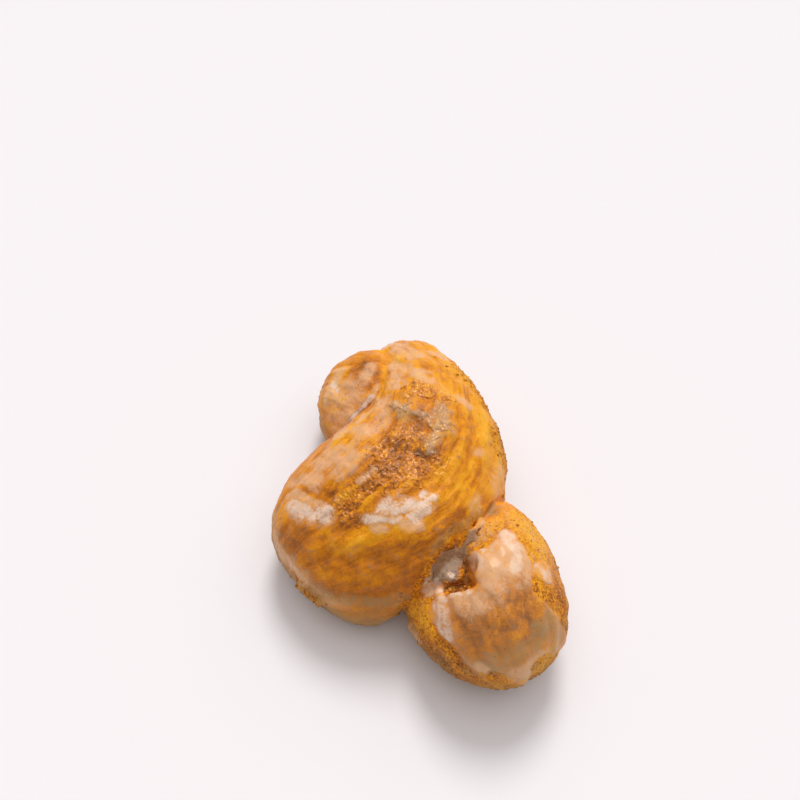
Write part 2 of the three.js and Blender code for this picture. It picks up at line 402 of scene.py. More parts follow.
        (3.0, [(30, -20, 5), (38, -24, 4), (46, -26, 4)]),
    ],
    "lump": [
        (3.7, [(-6, 15.5, 45.5), (-1.5, 11.5, 46)]),
        (2.4, [(-1.5, 11.5, 46), (1.4, 8, 45.8)]),
        (1.1, [(2, 7.5, 45.8), (4.6, 4, 45)]),
        (2.2, [(-17, 5.4, 44), (-14, 6.4, 44.8)]),
        (1.2, [(-10, 8, 45.8), (-7, 11, 46)]),
    ],
}
softEdge = {"inner": 0.1, "outer": 1.9}
firmEdge = {"inner": 0.5, "outer": 1.4}
crispEdge = {"inner": 0.75, "outer": 1.25}
strokeWaver = 0.3  # how far a stroke's edge wavers, as a share of its reach
faintest = 0.004  # weights below this are left out of a vertex group

# The glaze's edge seen from above, in mm, where it ran to a crisp edge before it set
glazeEdges = {
    "loopSheet": [
        (32.8, 0.2), (34.2, 2.4), (35.6, 4.8), (33.5, 8.8), (32.8, 12), (34.5, 14.9), (38.2, 14.1),
        (41.7, 13.1), (44.6, 12.6), (48.8, 9.8), (52.2, 8.1), (56, 9.8), (58.5, 11.6), (62, 13.4),
        (65, 13), (66, 9), (65, 4), (65.5, 0.4), (66.3, -1.6), (68, -3), (66.5, -4.6),
        (65, -7), (63.2, -8.4), (61.8, -10.1), (60.7, -11.4), (60.9, -12.8), (59.5, -14.3), (57.2, -15.7),
        (54.9, -16.6), (51.8, -16.6), (48.4, -17.9), (45.1, -18.6), (41.6, -18.4), (38.3, -16.8), (36.5, -15),
        (38.2, -13), (40.4, -10.4), (42.4, -8.1), (42.6, -5.8), (40.5, -3.9), (38, -2.2), (35.4, -1),
    ],
    "island": [(46, 13), (46, 16), (48, 18), (50, 17.5), (52.5, 15.5), (52, 13), (50, 11), (48, 11)],
    "leftPatch": [
        (-16, -36), (-14, -38), (-12, -39.5), (-9, -39), (-7, -40.5), (-4, -38.5), (-2, -39), (1, -36.5),
        (4, -34.5), (7, -31), (6, -27), (2, -27), (-2, -29), (-7, -32), (-13, -33),
    ],
}
glazeThickness = {"loopSheet": 1.0, "island": 1.0, "leftPatch": 0.62}  # as a share of the full sheet
glazeLines = {
    # thickness in the same way, strokes
    "crumbRim": (0.9, [
        (2.2, [(32.8, -13.4, 23.6), (33.4, -12, 24.8), (36, -12.4, 26.5), (37.5, -13, 26.5)]),
    ]),
}
glazeReach = {"edge": 0.7, "waver": 0.5, "lowest": 13, "full": 17, "wiped": (0.5, 2.2)}

# Where the crust goes from one state to the next, in mm
zones = {
    "wobble": 4.0, "slowWobble": 9.0, "meltWobble": 2.2,  # grain of the wavering edges
    "bareKnob": (24, 30),  # the knob's crust is bare from here on
    "flankSlope": 0.6, "flankWaver": 5, "flank": (6, 14), "flankAlong": (-40, -25), "flankBare": 0.9,
    "lowWaver": 3, "low": (9, 22),  # darker and duller near the table: painted shade
    "standing": (0.3, 3.0),  # below this the crust stays flat on the table
    "melted": (0.35, 0.7), "meltWaver": 0.35,
    "streaky": (26, 40), "leastStreaky": 0.3,
}


def brush(points, strokes, wobble, edge):
    # how strongly a set of strokes covers each point, with a wavering edge
    cover = np.zeros(len(points))
    for reach, line in strokes:
        if len(line) == 1:
            far = np.linalg.norm(points - np.array(line[0], float), axis=1)
        else:
            far = onPolyline(points, np.array(line, float))[0]
        share = far / reach * (1 + strokeWaver * wobble)
        cover = np.maximum(cover, 1 - ease(share, edge["inner"], edge["outer"]))
    return cover


def insideEdge(points, corners, wobble):
    # 1 inside an outline drawn from above, 0 outside it
    outline = np.array(corners + corners[:1], float)
    plan = points[:, :2]
    far = onPolyline(plan, outline)[0]
    inside = np.zeros(len(points), bool)
    for (x0, y0), (x1, y1) in zip(outline[:-1], outline[1:]):
        crosses = (y0 > plan[:, 1]) != (y1 > plan[:, 1])
        at = x0 + (plan[:, 1] - y0) / (y1 - y0 if y1 != y0 else 1e-9) * (x1 - x0)
        inside ^= crosses & (plan[:, 0] < at)
    signed = np.where(inside, far, -far) + glazeReach["waver"] * wobble
    lowEnough = ease(points[:, 2], glazeReach["lowest"], glazeReach["full"])
    return ease(signed, -glazeReach["edge"], glazeReach["edge"]) * lowEnough, signed


def setWeights(piece, layer, values):
    # an attribute for the material, and a vertex group for the modifiers
    group = piece.vertex_groups.new(name=layer + "Area")
    for number in np.nonzero(values > faintest)[0]:
        group.add([int(number)], float(min(values[number], 1)), "REPLACE")
    attribute = piece.data.attributes.new(layer, "FLOAT", "POINT")
    attribute.data.foreach_set("value", values.astype(np.float32))


# Dough

dough = {
    "voxel": 0.62 * mm,
    "smoothing": {"everywhere": 5, "outsideCreases": 16},
    # degrees, and mm from the line where one strand lies against another
    "crease": {"sharperThan": 45, "steps": 4, "keptWithin": 3.0, "deepWithin": 1.6, "depth": 0.8},
    "grownTogether": (5.0, [(-58, 24, 27), (-50, 21, 31), (-43.5, 18, 34), (-39.6, 15, 35), (-37, 12, 35)]),
    "knobHollow": (4.6, [(33, -1, 28), (35, -7, 28.5)]),
    "textures": {
        # grain size in mm, strength in mm, where, laid along the strand
        "swell": (9.0, 1.2, "free", False),
        "folds": (4.0, 1.3, "free", True),
        "stretch": (1.7, 0.7, "streaky", True),
        "dimple": (4.0, 0.8, "free", False),
        "wrinkle": (0.9, 0.22, "streaky", True),
        "crackle": (2.4, 1.0, "rough", False),
        "lumpy": (3.2, 1.4, "lump", False),
        "pooled": (3.4, 1.6, "hollow", False),
        "sand": (0.8, 0.5, "bare", False),
    },
    "lumpHeight": 1.2,
    "forms": [
        # reach, height, line: a soft fold across the near end and the hollow below it, then the knob's: the
        # dough that swells into its hollow, the dip the glaze pooled in and its rim, the slit that is left of
        # the loop, and the lip under it
        (2.2, 0.6, [(11, -31, 32), (14, -27, 34), (17, -22, 35), (20, -17, 37), (22, -11, 38)]),
        (2.4, -0.7, [(12, -34, 30), (17, -30, 31), (21, -24, 32), (25, -18, 34), (27, -12, 35)]),
        (2.6, 1.2, [(32.2, -1, 28.2), (34.4, -3.2, 27.6)]),
        (3.0, -1.3, [(33, -5, 30.4), (34.6, -7.6, 30.2)]),
        (1.8, 0.7, [(34.4, 1.4, 30.6), (36, -0.6, 30.6)]),
        (1.1, -2.1, [(35.8, -11.4, 27.2), (37.4, -9.6, 28), (38.6, -7, 27.8), (39.8, -4.4, 28.4)]),
        (1.6, 0.5, [(38.4, -12, 28), (41, -9.6, 31.4), (42.6, -6.6, 33.4)]),
        # a ledge of crumb low on the near side, and small lumps low on the knob
        (1.2, 1.9, [(8, -43.6, 15), (12, -42.2, 14.6), (16, -40.6, 15)]),
        (1.4, 1.0, [(34.9, -20.7, 10.3), (36, -21, 11.4)]),
        (1.3, 0.9, [(38.6, -21.3, 12.8)]),
        (1.2, 0.8, [(41.6, -21.4, 14)]),
    ],
}


def findCreases(piece):
    # places along the sharp hollow lines where one strand lies against another
    shape = bmesh.new()
    shape.from_mesh(piece.data)
    places = []
    sharpest = -math.radians(dough["crease"]["sharperThan"])
    steps = dough["crease"]["steps"]
    for edge in shape.edges:
        if len(edge.link_faces) == 2 and edge.calc_face_angle_signed() < sharpest:
            start, end = (vertex.co / mm for vertex in edge.verts)
            places.extend(start.lerp(end, step / steps) for step in range(steps + 1))
    shape.free()
    tree = kdtree.KDTree(len(places))
    for number, place in enumerate(places):
        tree.insert(place, number)
    tree.balance()
    return tree


def copyTwist():
    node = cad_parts["twist"]
    piece = bpy.data.objects.new("dough", node.data.copy())
    bpy.context.scene.collection.objects.link(piece)
    pickOnly(piece)
    bpy.ops.object.mode_set(mode="EDIT")
    bpy.ops.mesh.select_all(action="SELECT")
    bpy.ops.mesh.remove_doubles(threshold=0.002 * mm)
    bpy.ops.object.mode_set(mode="OBJECT")
    return piece


def layStrandMap(piece, points):
    # a UV map in mm that runs along the rope and round it
    places, owner = strandPlaces(points)
    corners = np.empty(len(piece.data.loops), np.int32)
    sides = np.empty(len(piece.data.polygons), np.int32)
    piece.data.loops.foreach_get("vertex_index", corners)
    piece.data.polygons.foreach_get("loop_total", sides)
    firstCorners = corners[np.concatenate([[0], np.cumsum(sides)[:-1]])]
    faceOwner = np.repeat(owner[firstCorners], sides)
    layer = piece.data.uv_layers.new(name="strand")
    layer.data.foreach_set("uv", places[faceOwner, corners].astype(np.float32).ravel())
    streaky = np.array([strand["streaky"] for strand in strands.values()])[owner]
    least = zones["leastStreaky"]
    setWeights(piece, "streaky", streaky * (least + (1 - least) * ease(points[:, 2], *zones["streaky"])))
    return owner


def layPaint(piece):
    points = readVertices(piece) / mm
    owner = layStrandMap(piece, points)
    wobble = waver(points, zones["wobble"])
    slow = waver(points, zones["slowWobble"], seed=5)
    glaze = np.zeros(len(points))
    wiped = np.ones(len(points))
    for thickness, strokes in glazeLines.values():
        glaze = np.maximum(glaze, brush(points, strokes, wobble, crispEdge) * thickness)
    for name, corners in glazeEdges.items():
        inside, signed = insideEdge(points, corners, wobble)
        glaze = np.maximum(glaze, inside * glazeThickness[name])
        wiped = np.minimum(wiped, np.maximum(inside, ease(-signed, *glazeReach["wiped"])))
    wiped = np.maximum(wiped, glaze)
    setWeights(piece, "glaze", glaze)
    for layer, strokes in paint.items():
        cover = brush(points, strokes, wobble, firmEdge if layer == "seam" else softEdge)
        setWeights(piece, layer, cover * wiped if layer in ("white", "milk") else cover)
    x, y, z = points.T
    onCrossover, onLoop = (owner == list(strands).index(name) for name in ("crossover", "loop"))
    across = y - zones["flankSlope"] * z + zones["flankWaver"] * slow
    flank = ease(across, *zones["flank"]) * ease(x, *zones["flankAlong"])
    # painted shade: the crust is drawn darker and duller towards the table
    low = 1 - ease(z + zones["lowWaver"] * slow, *zones["low"])
    bare = np.maximum(onLoop * ease(x, *zones["bareKnob"]), flank * zones["flankBare"] * onCrossover)
    setWeights(piece, "bare", bare * (1 - glaze))
    setWeights(piece, "shadedLow", low)
    setWeights(piece, "flank", flank * onCrossover * (1 - low))
    setWeights(piece, "free", ease(z, *zones["standing"]))
    melt = np.maximum(*(brush(points, paint[layer], wobble, softEdge) for layer in ("lump", "rough")))
    meltEdge = zones["meltWaver"] * waver(points, zones["meltWobble"], seed=9)
    setWeights(piece, "melt", ease(melt + meltEdge, *zones["melted"]))


def press(piece, name, size, strength, layer, alongStrand, octaves=2):
    # relief of a given grain and strength, in mm
    texture = bpy.data.textures.new(name, "CLOUDS")
    texture.noise_depth = octaves
    texture.noise_scale = size * 2 if alongStrand else size * mm
    settings = {"texture_coords": "UV", "uv_layer": "strand"} if alongStrand else {"texture_coords": "LOCAL"}
    applyModifier(
        piece, "DISPLACE", name, texture=texture, strength=strength * mm, mid_level=0.5,
        vertex_group=layer + "Area", **settings,
    )


def pressForms(piece):
    points = readVertices(piece) / mm
    for number, (reach, height, line) in enumerate(dough["forms"]):
        name = f"form{number}"
        setWeights(piece, name, brush(points, [(reach, line)], np.zeros(len(points)), softEdge))
        applyModifier(piece, "DISPLACE", name, strength=height * mm, mid_level=0, vertex_group=name + "Area")


def makeDough():
    piece = copyTwist()
    creases = findCreases(piece)
    applyModifier(piece, "REMESH", "crumb", mode="VOXEL", voxel_size=dough["voxel"], use_smooth_shade=True)
    applyModifier(piece, "SMOOTH", "proof", factor=0.5, iterations=dough["smoothing"]["everywhere"])
    points = readVertices(piece) / mm
    far = np.array([creases.find(place)[2] for place in points])  # from the nearest crease
    level = np.zeros(len(points))
    hollow = brush(points, [dough["knobHollow"]], level, softEdge)
    apart = 1 - np.maximum(hollow, brush(points, [dough["grownTogether"]], level, softEdge))
    setWeights(piece, "hollow", hollow)
    setWeights(piece, "keen", (1 - ease(far, 0.5, dough["crease"]["keptWithin"])) * apart)
    setWeights(piece, "crease", (1 - ease(far, 0.2, dough["crease"]["deepWithin"])) * apart)
    applyModifier(
        piece, "SMOOTH", "rise", factor=0.5, iterations=dough["smoothing"]["outsideCreases"],
        vertex_group="keenArea", invert_vertex_group=True,
    )
    applyModifier(
        piece, "DISPLACE", "crease", strength=-dough["crease"]["depth"] * mm, mid_level=0,
        vertex_group="creaseArea",
    )
    layPaint(piece)
    pressForms(piece)
    applyModifier(
        piece, "DISPLACE", "lumps", strength=dough["lumpHeight"] * mm, mid_level=0, vertex_group="lumpArea"
    )
    smooth = readVertices(piece)
    outward = readVertices(piece, "normal")
    for name, (size, strength, layer, alongStrand) in dough["textures"].items():
        press(piece, name, size, strength, layer, alongStrand)
    setWeights(piece, "raised", ((readVertices(piece) - smooth) * outward).sum(1) / mm)
    return piece


bread = makeDough()
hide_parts("twist")
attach(bread, "root")
print("dough shaped", len(bread.data.polygons), "faces")


# Glaze, and the sugar that melted into beads on the top. Lengths in mm: how far a sheet sinks into the
# crust, how thick it lies on it and how deep its body goes; fill is how often it levels, keep the least paint
# it is poured on

glazeSheet = {
    "area": "glaze", "fill": 5, "pooled": False, "sink": 0.35, "thickness": 0.52, "keep": 0.15, "body": 0.7,
    "finer": 0, "beads": {},
}
seamGlaze = {
    "area": "seam", "fill": 150, "pooled": True, "sink": 0.6, "thickness": 0.85, "keep": 0.1, "body": 0.7,
    "finer": 0, "beads": {},
}
meltedSugar = {
    "area": "melt", "fill": 3, "pooled": False, "sink": 0.4, "thickness": 0.6, "keep": 0.2, "body": 0.8,
    "finer": 1,
    # grain size in mm, strength in mm, laid along the strand
    "beads": {"wrinkles": (0.9, 0.65, True), "beads": (1.0, 0.45, False), "pulled": (0.55, 0.35, False)},
    "beadShading": 2.2,  # how strongly the beads show in the colour, lighter on their tops and darker between them, partly as painted light and shade
}


def readLayer(piece, name):
    values = np.empty(len(piece.data.vertices), np.float32)
    piece.data.attributes[name].data.foreach_get("value", values)
    return values


def pour(name, sheet):
    # a sheet lifted off the crust where its layer is painted, sinking into it all round
    piece = bread.copy()
    piece.data = bread.data.copy()
    piece.name = name
    piece.parent = None
    for key in list(piece.keys()):
        del piece[key]
    bpy.context.scene.collection.objects.link(piece)
    applyModifier(
        piece, "SMOOTH", "level", factor=0.5, iterations=sheet["fill"],
        vertex_group=sheet["area"] + "Area" if sheet["pooled"] else "",
    )
    applyModifier(piece, "DISPLACE", "sink", strength=-sheet["sink"] * mm, mid_level=0)
    applyModifier(
        piece, "DISPLACE", "coat", strength=sheet["thickness"] * mm, mid_level=0,
        vertex_group=sheet["area"] + "Area",
    )
    cover = readLayer(piece, sheet["area"])
    pickOnly(piece)
    bpy.ops.object.mode_set(mode="EDIT")
    bpy.ops.mesh.select_all(action="DESELECT")
    bpy.ops.object.mode_set(mode="OBJECT")
    piece.data.vertices.foreach_set("select", cover < sheet["keep"])
    bpy.ops.object.mode_set(mode="EDIT")
    bpy.ops.mesh.delete(type="VERT")
    bpy.ops.object.mode_set(mode="OBJECT")
    if sheet["finer"]:
        applyModifier(piece, "SUBSURF", "finer", levels=sheet["finer"], render_levels=sheet["finer"])
    smooth = readVertices(piece)
    outward = readVertices(piece, "normal")
    for bead, (size, strength, alongStrand) in sheet["beads"].items():
        press(piece, bead, size, strength, sheet["area"], alongStrand, octaves=0)
    if sheet["beads"]:
        raised = ((readVertices(piece) - smooth) * outward).sum(1) / mm
        raised *= sheet["beadShading"]
        piece.data.attributes["raised"].data.foreach_set("value", raised.astype(np.float32))
    applyModifier(piece, "SOLIDIFY", "body", thickness=sheet["body"] * mm, offset=-1, use_even_offset=False)
    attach(piece, "root")
    return piece


glaze = pour("glazeSheet", glazeSheet)
seam = pour("seamGlaze", seamGlaze)
melt = pour("meltedSugar", meltedSugar)
print("glaze poured", [len(sheet.data.polygons) for sheet in (glaze, seam, melt)], "faces")


# Loose bits: cinnamon specks and crumbs, each kind strewn as one joined mesh

looseBits = {
    # sizes in mm, then how the sizes vary, and how readily the bits lie on each part of the crust
    "cinnamonSpecks": {
        "size": (0.34, 0.26, 0.13), "rounds": 1, "crooked": 0.06, "kinds": 5, "count": 3600,
        "sizes": (0.4, 1.3), "sink": 0.03,
        "where": {"bare": 1.0, "rough": 0.3, "crumbly": 0.6, "flecked": 0.3, "anywhere": 0.06}, "seed": 5,
        "slot": "cinnamon",
    },
    "crumbs": {
        "size": (1.0, 0.8, 0.7), "rounds": 2, "crooked": 0.2, "kinds": 5, "count": 640, "sizes": (0.35, 1.4),
        "sink": 0.1, "where": {"crumbly": 3.0, "flank": 0.5, "bare": 0.06}, "seed": 7, "slot": "crust",
    },
}
bitLean = 0.3  # how far a bit leans off the crust
aboveTable = (1.5 * mm, 3 * mm)  # bits lie from here up


def shapeBit(bits, seed):
    # one bit: a small crooked pebble, or a flake where it is thin
    bpy.ops.object.select_all(action="DESELECT")
    bpy.ops.mesh.primitive_ico_sphere_add(subdivisions=bits["rounds"], radius=0.5, location=(0, 0, 0))
    grain = bpy.context.object
    grain.scale = [side * mm for side in bits["size"]]
    bpy.ops.object.transform_apply(location=False, rotation=False, scale=True)
    bpy.ops.object.mode_set(mode="EDIT")
    bpy.ops.mesh.select_all(action="SELECT")
    bpy.ops.transform.vertex_random(offset=bits["crooked"] * mm, uniform=1.0, seed=seed)
    bpy.ops.object.mode_set(mode="OBJECT")
    places = readVertices(grain)
    corners = [tuple(face.vertices) for face in grain.data.polygons]
    bpy.data.objects.remove(grain)
    return places, corners


def readFaces(piece):
    # middle, outward way, area and first vertex of every face
    faces = piece.data.polygons
    middle = np.empty(len(faces) * 3, np.float32)
    outward = np.empty(len(faces) * 3, np.float32)
    area = np.empty(len(faces), np.float32)
    corner = np.empty(len(faces), np.int32)
    vertex = np.empty(len(piece.data.loops), np.int32)
    faces.foreach_get("center", middle)
    faces.foreach_get("normal", outward)
    faces.foreach_get("area", area)
    faces.foreach_get("loop_start", corner)
    piece.data.loops.foreach_get("vertex_index", vertex)
    return middle.reshape(-1, 3).astype(float), outward.reshape(-1, 3).astype(float), area, vertex[corner]


def strew(name, bits):
    rng = np.random.default_rng(bits["seed"])
    middle, outward, area, vertex = readFaces(bread)
    chance = sum(
        share * (1.0 if layer == "anywhere" else readLayer(bread, layer)[vertex])
        for layer, share in bits["where"].items()
    )
    covered = np.maximum(readLayer(bread, "glaze"), readLayer(bread, "seam"))[vertex]
    chance = chance * area * ease(middle[:, 2], *aboveTable) * (1 - covered)
    chosen = rng.choice(len(area), bits["count"], replace=False, p=chance / chance.sum())
    shapes = [shapeBit(bits, bits["seed"] * 10 + kind) for kind in range(bits["kinds"])]
    places = []
    faces = []
    for number, face in enumerate(chosen):
        shape, corners = shapes[number % len(shapes)]
        up = outward[face] + rng.normal(0, bitLean, 3)
        up /= np.linalg.norm(up)
        across = np.cross(up, rng.normal(0, 1, 3))
        across /= np.linalg.norm(across)
        turned = shape @ np.array([across, np.cross(up, across), up]) * rng.uniform(*bits["sizes"])
        start = len(places)
        places.extend(turned + middle[face] - outward[face] * bits["sink"] * mm)
        faces.extend([tuple(start + corner for corner in side) for side in corners])
    mesh = bpy.data.meshes.new(name)
    mesh.from_pydata(places, [], faces)
    piece = bpy.data.objects.new(name, mesh)
    bpy.context.scene.collection.objects.link(piece)
    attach(piece, "root")
    print(name, "strewn", len(mesh.polygons), "faces")
    return piece


specks, crumbs = (strew(name, bits) for name, bits in looseBits.items())


# Materials

bakeColours = [
    # how far baked, colour
    (0.0, (0.99, 0.46, 0.03, 1)),
    (0.25, (0.93, 0.355, 0.008, 1)),
    (0.5, (0.71, 0.22, 0.010, 1)),
    (0.75, (0.45, 0.134, 0.014, 1)),
    (1.0, (0.21, 0.062, 0.010, 1)),
]
overColours = {
    # laid over the baked colour in this order: what says where, how strongly it covers, colour
    # painted shade, darker and duller near the table
    "shadedLow": ("shadedLow", 0.78, (0.275, 0.175, 0.082, 1)),
    # dull tan crust and glaze, with painted shade on the low sides and in the crease
    "dullTanAndShade": ("dullTanAndShadeCover", 0.6, (0.50, 0.31, 0.12, 1)),
    "speck": ("specked", 0.8, (0.33, 0.075, 0.006, 1)),
    "milk": ("filmed", 0.75, (0.90, 0.505, 0.275, 1)),
    # glaze pooled in hollows, with painted shade over it
    "greyGlazeAndShade": ("greyGlazeAndShadeCover", 0.85, (0.32, 0.25, 0.205, 1)),
    "white": ("thick", 0.9, (1.0, 0.735, 0.57, 1)),
    "lump": ("greyed", 0.8, (0.60, 0.36, 0.20, 1)),
    # painted shade in hollows, creases and the knob's slit
    "deep": ("paintedShadeCover", 0.8, (0.21, 0.08, 0.028, 1)),
}
crustGrain = {
    # laid on the strand map, drawn out along it or in space; size, detail, roughness, distortion
    "streak": ("along", 5.0, 4, 0.6, 0),
    "fine": ("along", 1.7, 5, 0.65, 0),
    "hair": ("drawn", 1.3, 4, 0.6, 0),
    "blotch": ("place", 9 * mm, 5, 0.6, 0.6),
    "mottle": ("place", 3.4 * mm, 6, 0.65, 0.8),
    "pores": ("place", 1.5 * mm, 3, 0.7, 0),
    "grit": ("place", 1.1 * mm, 3, 0.65, 0),
    "dust": ("place", 1.0 * mm, 2, 0.5, 0.6),
    "sugar": ("place", 0.55 * mm, 2, 0.6, 0),
}
strandCurl = {"scale": 90, "reach": (5, 5, 0), "drawnOut": (0.4, 1, 1)}
crustLayers = (
    "gold", "brownAndShade", "rough", "milk", "white", "pale", "lump", "greyGlazeAndShade", "dullTanAndShade", "deep", "flecked", "bare",
    "shadedLow", "streaky", "raised",
)
crustMix = {
    # a start, the shares added to it (of a layer or grain, or of two multiplied), the range that is spread
    # to 0 to 1
    # raised crust is drawn lighter and hollows darker in these sums: partly cinnamon settled in the hollows,
    # partly painted light on the ridges and painted shade in the hollows
    "baked": (0.40, {
        "streak": 0.13, "fine": 0.17, "hair": 0.19, "blotch": 0.07, "mottle": 0.10, "brownAndShade": 0.28,
        "gold": -0.22, "rough": 0.04, "raised": -0.24, "pores": 0.12, "bare": -0.10, "bare grit": 0.40,
        "rough grit": 0.18, "rough mottle": 0.12, "flecked mottle": 0.22, "sugar": 0.07, "rough sugar": 0.14,
        "bare sugar": 0.10,
    }, None),
    "dullTanAndShadeCover": (0.0, {"dullTanAndShade": 0.85, "mottle": 0.35, "fine": 0.15, "pores": 0.15}, (0.1, 1.0)),
    # dark cinnamon flecks, thick on the bare crust and few elsewhere
    "specked": (-0.98, {"dust": 1.0, "mottle": 0.2, "bare": 0.45, "flecked": 0.35}, (0.0, 0.25)),
    # the milky film of glaze, broken by the streaks
    "uneven": (1.0, {
        "blotch": 0.15, "fine": 0.3, "mottle": 0.5, "raised": 0.4, "pores": 0.5, "grit": 0.35, "sugar": 0.3,
    }, None),
    "milky": (0.07, {"milk": 0.75, "pale": 0.27, "bare": -0.04, "shadedLow": -0.03, "rough": -0.07}, None),
    "filmed": (0.0, {"milky uneven": 1.0}, (0.05, 0.85)),
    "greyGlazeAndShadeCover": (0.0, {"greyGlazeAndShade": 1.0, "mottle": 0.12, "pores": 0.06}, (0.1, 0.9)),
    # glaze thick enough to be white
    "broken": (0.90, {
        "blotch": 0.2, "mottle": 0.75, "fine": 0.55, "raised": -0.2, "pores": 0.6, "sugar": 0.25,
    }, None),
    "thick": (0.0, {"white broken": 1.0}, (0.1, 1.05)),
    # the lumps are drawn lighter where raised: painted light on their tops
    "greyed": (-0.1, {"lump": 1.1, "mottle": 0.35, "raised": 0.5, "pores": 0.3, "sugar": 0.3}, (0.0, 1.2)),
    "paintedShadeCover": (0.0, {"deep": 1.0, "mottle": 0.15}, (0.1, 0.8)),
    "roughness": (0.36, {
        "bare": 0.22, "filmed": -0.105, "thick": -0.12, "grit": 0.05, "shadedLow": 0.15,
    }, None),
    "gritty": (0.08, {"bare": 1.5, "rough": 1.1, "lump": 0.5}, None),
    "height": (0.5, {"fine": 0.3, "mottle": 0.1, "pores": 0.3, "grit gritty": 0.6}, None),
}


class Net:
    # short names for the nodes of one tree
    def __init__(self, tree):
        self.tree = tree

    def add(self, kind, **settings):
        node = self.tree.nodes.new(kind)
        for setting, value in settings.items():
            setattr(node, setting, value)
        return node

    def feed(self, socket, value):
        if isinstance(value, bpy.types.NodeSocket):
            self.tree.links.new(value, socket)
        else:
            socket.default_value = value

    def maths(self, operation, *values):
        node = self.add("ShaderNodeMath", operation=operation)
        for number, value in enumerate(values):
            self.feed(node.inputs[number], value)
        return node.outputs[0]

    def vectorMaths(self, operation, *values):
        node = self.add("ShaderNodeVectorMath", operation=operation)
        for number, value in enumerate(values):
            self.feed(node.inputs[number], value)
        return node.outputs[0]

    def spread(self, value, low, high, smooth=True, bottom=0):
        # the part of a value between low and high, as bottom to 1
        node = self.add("ShaderNodeMapRange", interpolation_type="SMOOTHSTEP" if smooth else "LINEAR")
        self.feed(node.inputs["Value"], value)
        node.inputs["From Min"].default_value = low
        node.inputs["From Max"].default_value = high
        node.inputs["To Min"].default_value = bottom
        return node.outputs["Result"]

    def mix(self, amount, under, over):
        node = self.add("ShaderNodeMix", data_type="RGBA")
        self.feed(node.inputs[0], amount)
        self.feed(node.inputs[6], under)
        self.feed(node.inputs[7], over)
        return node.outputs[2]

    def grain(self, vector, size, detail, rough, distortion=0):
        # noise of a given grain size, spread to about -1 to 1
        node = self.add("ShaderNodeTexNoise")
        self.feed(node.inputs["Vector"], vector)
        node.inputs["Scale"].default_value = 1 / size
        node.inputs["Detail"].default_value = detail
        node.inputs["Roughness"].default_value = rough
        node.inputs["Distortion"].default_value = distortion
        return self.spread(node.outputs["Fac"], 0.28, 0.72, smooth=False, bottom=-1)

    def layer(self, name):
        return self.add("ShaderNodeAttribute", attribute_name=name, attribute_type="GEOMETRY").outputs["Fac"]

    def work(self, values, start, shares, spreadOver):
        # one entry of crustMix, out of the values worked out before it
        total = start
        for term, share in shares.items():
            parts = [values[part] for part in term.split()]
            value = parts[0] if len(parts) == 1 else self.maths("MULTIPLY", *parts)
            total = self.maths("MULTIPLY_ADD", value, share, total)
        return self.spread(total, *spreadOver) if spreadOver else total


def bakeRamp(net, baked):
    ramp = net.add("ShaderNodeValToRGB")
    for at, _ in bakeColours[2:]:
        ramp.color_ramp.elements.new(at)
    for stop, (at, colour) in zip(ramp.color_ramp.elements, bakeColours):
        stop.position = at
        stop.color = colour
    net.feed(ramp.inputs["Fac"], baked)
    return ramp.outputs["Color"]


def makeCrustGroup():
    # the crust at a place: its colour, gloss and fine relief, shared by the bare dough and the glaze over it
    tree = bpy.data.node_groups.new("crust", "ShaderNodeTree")
    for name, kind in (("Colour", "Color"), ("Roughness", "Float"), ("Height", "Float")):
        tree.interface.new_socket(name, in_out="OUTPUT", socket_type="NodeSocket" + kind)
    net = Net(tree)
    place = net.add("ShaderNodeTexCoord").outputs["Object"]
    strandMap = net.add("ShaderNodeUVMap", uv_map="strand").outputs["UV"]
    bend = net.add("ShaderNodeTexNoise")
    net.feed(bend.inputs["Vector"], place)
    bend.inputs["Scale"].default_value = strandCurl["scale"]
    along = net.vectorMaths("MULTIPLY_ADD", bend.outputs["Color"], strandCurl["reach"], strandMap)
    drawn = net.vectorMaths("MULTIPLY", along, strandCurl["drawnOut"])
    coordinates = {"place": place, "along": along, "drawn": drawn}

    values = {name: net.layer(name) for name in crustLayers}
    for name, (laid, *grain) in crustGrain.items():
        values[name] = net.grain(coordinates[laid], *grain)
        if laid != "place":
            values[name] = net.maths("MULTIPLY", values[name], values["streaky"])
    for name, recipe in crustMix.items():
        values[name] = net.work(values, *recipe)

    colour = bakeRamp(net, values["baked"])
    for where, strength, over in overColours.values():
        colour = net.mix(net.maths("MULTIPLY", values[where], strength), colour, over)
    out = net.add("NodeGroupOutput")
    net.feed(out.inputs["Colour"], colour)
    net.feed(out.inputs["Roughness"], values["roughness"])
    net.feed(out.inputs["Height"], values["height"])
    return tree


